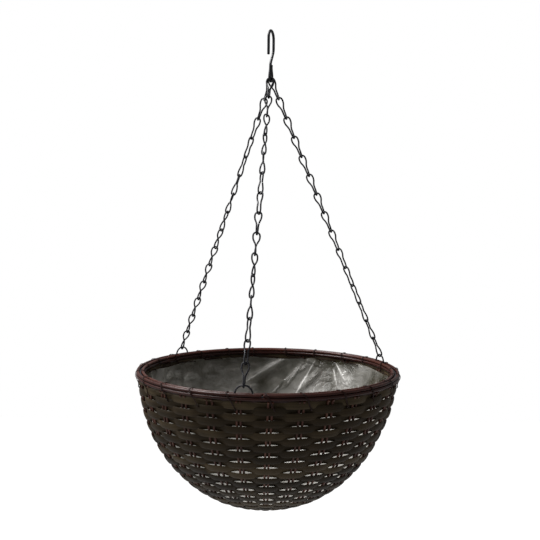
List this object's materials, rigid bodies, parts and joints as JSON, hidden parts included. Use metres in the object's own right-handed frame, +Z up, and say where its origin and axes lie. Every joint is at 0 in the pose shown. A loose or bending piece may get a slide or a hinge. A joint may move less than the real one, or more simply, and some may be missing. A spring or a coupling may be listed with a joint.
{
  "type": "hanging basket",
  "caption": "Woven half-round rattan basket with a cane rim and a clear plastic liner, hung by twisted wire-link chains from a wire hook.",
  "frame": {"origin": "inside top of the hook's bend, where the hook sits on whatever carries it", "axes": "+Z up, -Y towards the picture's camera, +X to the right in it"},
  "size_m": [0.3563, 0.3556, 0.6388],
  "materials": {
    "hook_wire": "satin black coated wire",
    "chain_wire": "satin black coated wire",
    "rim_wire": "satin black coated wire, hidden in the rim",
    "cane": "stained round rattan cane, satin",
    "weave": "stained flat rattan weavers over paired stakes, satin",
    "lashing": "dark flat rattan lashing",
    "film": "clear grey polythene film with creases"
  },
  "bodies": {
    "hook": {"hook": "hook_wire"},
    "basket": {"front_rim_eye": "chain_wire", "left_rim_eye": "chain_wire", "liner": "film", "right_rim_eye": "chain_wire", "rim_cane_bottom": "cane", "rim_cane_inner_low": "cane", "rim_cane_outer_low": "cane", "rim_cane_top_inner": "cane", "rim_cane_top_outer": "cane", "rim_hoop": "rim_wire", "rim_lashing": "lashing", "woven_wall": "weave", "left_chain_link_01": "chain_wire", "right_chain_link_01": "chain_wire", "front_chain_link_01": "chain_wire"},
    "left_chain_link_02": {"left_chain_link_02": "chain_wire"},
    "left_chain_link_03": {"left_chain_link_03": "chain_wire"},
    "left_chain_link_04": {"left_chain_link_04": "chain_wire"},
    "left_chain_link_05": {"left_chain_link_05": "chain_wire"},
    "left_chain_link_06": {"left_chain_link_06": "chain_wire"},
    "left_chain_link_07": {"left_chain_link_07": "chain_wire"},
    "left_chain_link_08": {"left_chain_link_08": "chain_wire"},
    "left_chain_link_09": {"left_chain_link_09": "chain_wire"},
    "left_chain_link_10": {"left_chain_link_10": "chain_wire"},
    "left_chain_link_11": {"left_chain_link_11": "chain_wire"},
    "left_chain_link_12": {"left_chain_link_12": "chain_wire"},
    "left_chain_link_13": {"left_chain_link_13": "chain_wire"},
    "left_chain_link_14": {"left_chain_link_14": "chain_wire"},
    "left_chain_link_15": {"left_chain_link_15": "chain_wire"},
    "right_chain_link_02": {"right_chain_link_02": "chain_wire"},
    "right_chain_link_03": {"right_chain_link_03": "chain_wire"},
    "right_chain_link_04": {"right_chain_link_04": "chain_wire"},
    "right_chain_link_05": {"right_chain_link_05": "chain_wire"},
    "right_chain_link_06": {"right_chain_link_06": "chain_wire"},
    "right_chain_link_07": {"right_chain_link_07": "chain_wire"},
    "right_chain_link_08": {"right_chain_link_08": "chain_wire"},
    "right_chain_link_09": {"right_chain_link_09": "chain_wire"},
    "right_chain_link_10": {"right_chain_link_10": "chain_wire"},
    "right_chain_link_11": {"right_chain_link_11": "chain_wire"},
    "right_chain_link_12": {"right_chain_link_12": "chain_wire"},
    "right_chain_link_13": {"right_chain_link_13": "chain_wire"},
    "right_chain_link_14": {"right_chain_link_14": "chain_wire"},
    "right_chain_link_15": {"right_chain_link_15": "chain_wire"},
    "front_chain_link_02": {"front_chain_link_02": "chain_wire"},
    "front_chain_link_03": {"front_chain_link_03": "chain_wire"},
    "front_chain_link_04": {"front_chain_link_04": "chain_wire"},
    "front_chain_link_05": {"front_chain_link_05": "chain_wire"},
    "front_chain_link_06": {"front_chain_link_06": "chain_wire"},
    "front_chain_link_07": {"front_chain_link_07": "chain_wire"},
    "front_chain_link_08": {"front_chain_link_08": "chain_wire"},
    "front_chain_link_09": {"front_chain_link_09": "chain_wire"},
    "front_chain_link_10": {"front_chain_link_10": "chain_wire"},
    "front_chain_link_11": {"front_chain_link_11": "chain_wire"},
    "front_chain_link_12": {"front_chain_link_12": "chain_wire"},
    "front_chain_link_13": {"front_chain_link_13": "chain_wire"},
    "front_chain_link_14": {"front_chain_link_14": "chain_wire"},
    "front_chain_link_15": {"front_chain_link_15": "chain_wire"}
  },
  "joints": [
    {"name": "basket_swing", "type": "hinge", "parent": "hook", "child": "basket", "pos_m": [0, 0, -0.0642], "axis": [0.309, 0.9511, 0], "range_deg": [-30, 30]},
    {"name": "left_chain_tip_02", "type": "hinge", "parent": "basket", "child": "left_chain_link_02", "pos_m": [-0.00778, 0.00761, -0.08759], "axis": [-0.6762, 0.6088, 0.4149], "range_deg": [-6, 6]},
    {"name": "left_chain_tip_03", "type": "hinge", "parent": "basket", "child": "left_chain_link_03", "pos_m": [-0.00607, 0.00608, -0.08255], "axis": [-0.6762, 0.6088, 0.4149], "range_deg": [-5, 5]},
    {"name": "left_chain_tip_04", "type": "hinge", "parent": "basket", "child": "left_chain_link_04", "pos_m": [-0.00136, 0.00187, -0.06868], "axis": [-0.6762, 0.6088, 0.4149], "range_deg": [-4, 4]},
    {"name": "left_chain_tip_05", "type": "hinge", "parent": "basket", "child": "left_chain_link_05", "pos_m": [0.00934, -0.00771, -0.03719], "axis": [-0.6762, 0.6088, 0.4149], "range_deg": [-3, 3]},
    {"name": "left_chain_tip_06", "type": "hinge", "parent": "basket", "child": "left_chain_link_06", "pos_m": [0.03502, -0.03071, 0.03842], "axis": [-0.6762, 0.6088, 0.4149], "range_deg": [-2, 2]},
    {"name": "left_chain_tip_07", "type": "hinge", "parent": "basket", "child": "left_chain_link_07", "pos_m": [0.12063, -0.10736, 0.29042], "axis": [-0.6762, 0.6088, 0.4149], "range_deg": [-1, 1]},
    {"name": "left_chain_bow", "type": "slide", "parent": "basket", "child": "left_chain_link_08", "axis": [-0.6688, -0.7435, 0.0011], "range_m": [-0.01, 0.01]},
    {"name": "left_chain_slide_09", "type": "slide", "parent": "basket", "child": "left_chain_link_09", "axis": [-0.6688, -0.7435, 0.0011], "range_m": [-0.0102, 0.0102]},
    {"name": "left_chain_tip_10", "type": "hinge", "parent": "basket", "child": "left_chain_link_10", "pos_m": [-0.25605, 0.22989, -0.81841], "axis": [-0.6762, 0.6088, 0.4149], "range_deg": [-1, 1]},
    {"name": "left_chain_tip_11", "type": "hinge", "parent": "basket", "child": "left_chain_link_11", "pos_m": [-0.17044, 0.15325, -0.5664], "axis": [-0.6762, 0.6088, 0.4149], "range_deg": [-2, 2]},
    {"name": "left_chain_tip_12", "type": "hinge", "parent": "basket", "child": "left_chain_link_12", "pos_m": [-0.14476, 0.13025, -0.4908], "axis": [-0.6762, 0.6088, 0.4149], "range_deg": [-3, 3]},
    {"name": "left_chain_tip_13", "type": "hinge", "parent": "basket", "child": "left_chain_link_13", "pos_m": [-0.13406, 0.12067, -0.4593], "axis": [-0.6762, 0.6088, 0.4149], "range_deg": [-4, 4]},
    {"name": "left_chain_tip_14", "type": "hinge", "parent": "basket", "child": "left_chain_link_14", "pos_m": [-0.12935, 0.11646, -0.44544], "axis": [-0.6762, 0.6088, 0.4149], "range_deg": [-5, 5]},
    {"name": "left_chain_tip_15", "type": "hinge", "parent": "basket", "child": "left_chain_link_15", "pos_m": [-0.12764, 0.11492, -0.44039], "axis": [-0.6762, 0.6088, 0.4149], "range_deg": [-6, 6]},
    {"name": "right_chain_tip_02", "type": "hinge", "parent": "basket", "child": "right_chain_link_02", "pos_m": [0.01058, 0.00672, -0.08648], "axis": [0.8483, 0.3342, 0.4107], "range_deg": [-6, 6]},
    {"name": "right_chain_tip_03", "type": "hinge", "parent": "basket", "child": "right_chain_link_03", "pos_m": [0.00845, 0.00592, -0.08142], "axis": [0.8483, 0.3342, 0.4107], "range_deg": [-5, 5]},
    {"name": "right_chain_tip_04", "type": "hinge", "parent": "basket", "child": "right_chain_link_04", "pos_m": [0.00259, 0.00371, -0.06752], "axis": [0.8483, 0.3342, 0.4107], "range_deg": [-4, 4]},
    {"name": "right_chain_tip_05", "type": "hinge", "parent": "basket", "child": "right_chain_link_05", "pos_m": [-0.01074, -0.00131, -0.03591], "axis": [0.8483, 0.3342, 0.4107], "range_deg": [-3, 3]},
    {"name": "right_chain_tip_06", "type": "hinge", "parent": "basket", "child": "right_chain_link_06", "pos_m": [-0.04272, -0.01336, 0.03993], "axis": [0.8483, 0.3342, 0.4107], "range_deg": [-2, 2]},
    {"name": "right_chain_tip_07", "type": "hinge", "parent": "basket", "child": "right_chain_link_07", "pos_m": [-0.14931, -0.05352, 0.29275], "axis": [0.8483, 0.3342, 0.4107], "range_deg": [-1, 1]},
    {"name": "right_chain_bow", "type": "slide", "parent": "basket", "child": "right_chain_link_08", "axis": [-0.3642, 0.9313, -0.0056], "range_m": [-0.01, 0.01]},
    {"name": "right_chain_slide_09", "type": "slide", "parent": "basket", "child": "right_chain_link_09", "axis": [-0.3642, 0.9313, -0.0056], "range_m": [-0.0102, 0.0102]},
    {"name": "right_chain_tip_10", "type": "hinge", "parent": "basket", "child": "right_chain_link_10", "pos_m": [0.3197, 0.12318, -0.81966], "axis": [0.8483, 0.3342, 0.4107], "range_deg": [-1, 1]},
    {"name": "right_chain_tip_11", "type": "hinge", "parent": "basket", "child": "right_chain_link_11", "pos_m": [0.21311, 0.08302, -0.56684], "axis": [0.8483, 0.3342, 0.4107], "range_deg": [-2, 2]},
    {"name": "right_chain_tip_12", "type": "hinge", "parent": "basket", "child": "right_chain_link_12", "pos_m": [0.18113, 0.07097, -0.49099], "axis": [0.8483, 0.3342, 0.4107], "range_deg": [-3, 3]},
    {"name": "right_chain_tip_13", "type": "hinge", "parent": "basket", "child": "right_chain_link_13", "pos_m": [0.1678, 0.06595, -0.45939], "axis": [0.8483, 0.3342, 0.4107], "range_deg": [-4, 4]},
    {"name": "right_chain_tip_14", "type": "hinge", "parent": "basket", "child": "right_chain_link_14", "pos_m": [0.16194, 0.06374, -0.44548], "axis": [0.8483, 0.3342, 0.4107], "range_deg": [-5, 5]},
    {"name": "right_chain_tip_15", "type": "hinge", "parent": "basket", "child": "right_chain_link_15", "pos_m": [0.15981, 0.06294, -0.44043], "axis": [0.8483, 0.3342, 0.4107], "range_deg": [-6, 6]},
    {"name": "front_chain_tip_02", "type": "hinge", "parent": "basket", "child": "front_chain_link_02", "pos_m": [-0.00275, -0.01346, -0.08634], "axis": [-0.1507, -0.9007, 0.4076], "range_deg": [-6, 6]},
    {"name": "front_chain_tip_03", "type": "hinge", "parent": "basket", "child": "front_chain_link_03", "pos_m": [-0.00238, -0.01123, -0.08128], "axis": [-0.1507, -0.9007, 0.4076], "range_deg": [-5, 5]},
    {"name": "front_chain_tip_04", "type": "hinge", "parent": "basket", "child": "front_chain_link_04", "pos_m": [-0.00138, -0.0051, -0.06738], "axis": [-0.1507, -0.9007, 0.4076], "range_deg": [-4, 4]},
    {"name": "front_chain_tip_05", "type": "hinge", "parent": "basket", "child": "front_chain_link_05", "pos_m": [0.00091, 0.00882, -0.03576], "axis": [-0.1507, -0.9007, 0.4076], "range_deg": [-3, 3]},
    {"name": "front_chain_tip_06", "type": "hinge", "parent": "basket", "child": "front_chain_link_06", "pos_m": [0.00639, 0.04223, 0.04011], "axis": [-0.1507, -0.9007, 0.4076], "range_deg": [-2, 2]},
    {"name": "front_chain_tip_07", "type": "hinge", "parent": "basket", "child": "front_chain_link_07", "pos_m": [0.02468, 0.15361, 0.293], "axis": [-0.1507, -0.9007, 0.4076], "range_deg": [-1, 1]},
    {"name": "front_chain_bow", "type": "slide", "parent": "basket", "child": "front_chain_link_08", "axis": [0.9864, -0.1645, 0.0012], "range_m": [-0.01, 0.01]},
    {"name": "front_chain_slide_09", "type": "slide", "parent": "basket", "child": "front_chain_link_09", "axis": [0.9864, -0.1645, 0.0012], "range_m": [-0.0102, 0.0102]},
    {"name": "front_chain_tip_10", "type": "hinge", "parent": "basket", "child": "front_chain_link_10", "pos_m": [-0.05577, -0.33645, -0.81974], "axis": [-0.1507, -0.9007, 0.4076], "range_deg": [-1, 1]},
    {"name": "front_chain_tip_11", "type": "hinge", "parent": "basket", "child": "front_chain_link_11", "pos_m": [-0.03748, -0.22507, -0.56685], "axis": [-0.1507, -0.9007, 0.4076], "range_deg": [-2, 2]},
    {"name": "front_chain_tip_12", "type": "hinge", "parent": "basket", "child": "front_chain_link_12", "pos_m": [-0.032, -0.19166, -0.49098], "axis": [-0.1507, -0.9007, 0.4076], "range_deg": [-3, 3]},
    {"name": "front_chain_tip_13", "type": "hinge", "parent": "basket", "child": "front_chain_link_13", "pos_m": [-0.02971, -0.17774, -0.45936], "axis": [-0.1507, -0.9007, 0.4076], "range_deg": [-4, 4]},
    {"name": "front_chain_tip_14", "type": "hinge", "parent": "basket", "child": "front_chain_link_14", "pos_m": [-0.02871, -0.17161, -0.44545], "axis": [-0.1507, -0.9007, 0.4076], "range_deg": [-5, 5]},
    {"name": "front_chain_tip_15", "type": "hinge", "parent": "basket", "child": "front_chain_link_15", "pos_m": [-0.02834, -0.16939, -0.4404], "axis": [-0.1507, -0.9007, 0.4076], "range_deg": [-6, 6]}
  ],
  "couplings": [
    {"joint": "left_chain_tip_02", "follows": "left_chain_bow", "rad_per_m": 10.316},
    {"joint": "left_chain_tip_03", "follows": "left_chain_bow", "rad_per_m": 8.5965},
    {"joint": "left_chain_tip_04", "follows": "left_chain_bow", "rad_per_m": 6.8772},
    {"joint": "left_chain_tip_05", "follows": "left_chain_bow", "rad_per_m": 5.1579},
    {"joint": "left_chain_tip_06", "follows": "left_chain_bow", "rad_per_m": 3.4386},
    {"joint": "left_chain_tip_07", "follows": "left_chain_bow", "rad_per_m": 1.7193},
    {"joint": "left_chain_slide_09", "follows": "left_chain_bow", "ratio": 1},
    {"joint": "left_chain_tip_10", "follows": "left_chain_bow", "rad_per_m": -1.7193},
    {"joint": "left_chain_tip_11", "follows": "left_chain_bow", "rad_per_m": -3.4386},
    {"joint": "left_chain_tip_12", "follows": "left_chain_bow", "rad_per_m": -5.1579},
    {"joint": "left_chain_tip_13", "follows": "left_chain_bow", "rad_per_m": -6.8772},
    {"joint": "left_chain_tip_14", "follows": "left_chain_bow", "rad_per_m": -8.5965},
    {"joint": "left_chain_tip_15", "follows": "left_chain_bow", "rad_per_m": -10.316},
    {"joint": "right_chain_tip_02", "follows": "right_chain_bow", "rad_per_m": 10.304},
    {"joint": "right_chain_tip_03", "follows": "right_chain_bow", "rad_per_m": 8.5863},
    {"joint": "right_chain_tip_04", "follows": "right_chain_bow", "rad_per_m": 6.869},
    {"joint": "right_chain_tip_05", "follows": "right_chain_bow", "rad_per_m": 5.1518},
    {"joint": "right_chain_tip_06", "follows": "right_chain_bow", "rad_per_m": 3.4345},
    {"joint": "right_chain_tip_07", "follows": "right_chain_bow", "rad_per_m": 1.7173},
    {"joint": "right_chain_slide_09", "follows": "right_chain_bow", "ratio": 1},
    {"joint": "right_chain_tip_10", "follows": "right_chain_bow", "rad_per_m": -1.7173},
    {"joint": "right_chain_tip_11", "follows": "right_chain_bow", "rad_per_m": -3.4345},
    {"joint": "right_chain_tip_12", "follows": "right_chain_bow", "rad_per_m": -5.1518},
    {"joint": "right_chain_tip_13", "follows": "right_chain_bow", "rad_per_m": -6.869},
    {"joint": "right_chain_tip_14", "follows": "right_chain_bow", "rad_per_m": -8.5863},
    {"joint": "right_chain_tip_15", "follows": "right_chain_bow", "rad_per_m": -10.304},
    {"joint": "front_chain_tip_02", "follows": "front_chain_bow", "rad_per_m": 10.317},
    {"joint": "front_chain_tip_03", "follows": "front_chain_bow", "rad_per_m": 8.5974},
    {"joint": "front_chain_tip_04", "follows": "front_chain_bow", "rad_per_m": 6.8779},
    {"joint": "front_chain_tip_05", "follows": "front_chain_bow", "rad_per_m": 5.1584},
    {"joint": "front_chain_tip_06", "follows": "front_chain_bow", "rad_per_m": 3.439},
    {"joint": "front_chain_tip_07", "follows": "front_chain_bow", "rad_per_m": 1.7195},
    {"joint": "front_chain_slide_09", "follows": "front_chain_bow", "ratio": 1},
    {"joint": "front_chain_tip_10", "follows": "front_chain_bow", "rad_per_m": -1.7195},
    {"joint": "front_chain_tip_11", "follows": "front_chain_bow", "rad_per_m": -3.439},
    {"joint": "front_chain_tip_12", "follows": "front_chain_bow", "rad_per_m": -5.1584},
    {"joint": "front_chain_tip_13", "follows": "front_chain_bow", "rad_per_m": -6.8779},
    {"joint": "front_chain_tip_14", "follows": "front_chain_bow", "rad_per_m": -8.5974},
    {"joint": "front_chain_tip_15", "follows": "front_chain_bow", "rad_per_m": -10.317}
  ]
}
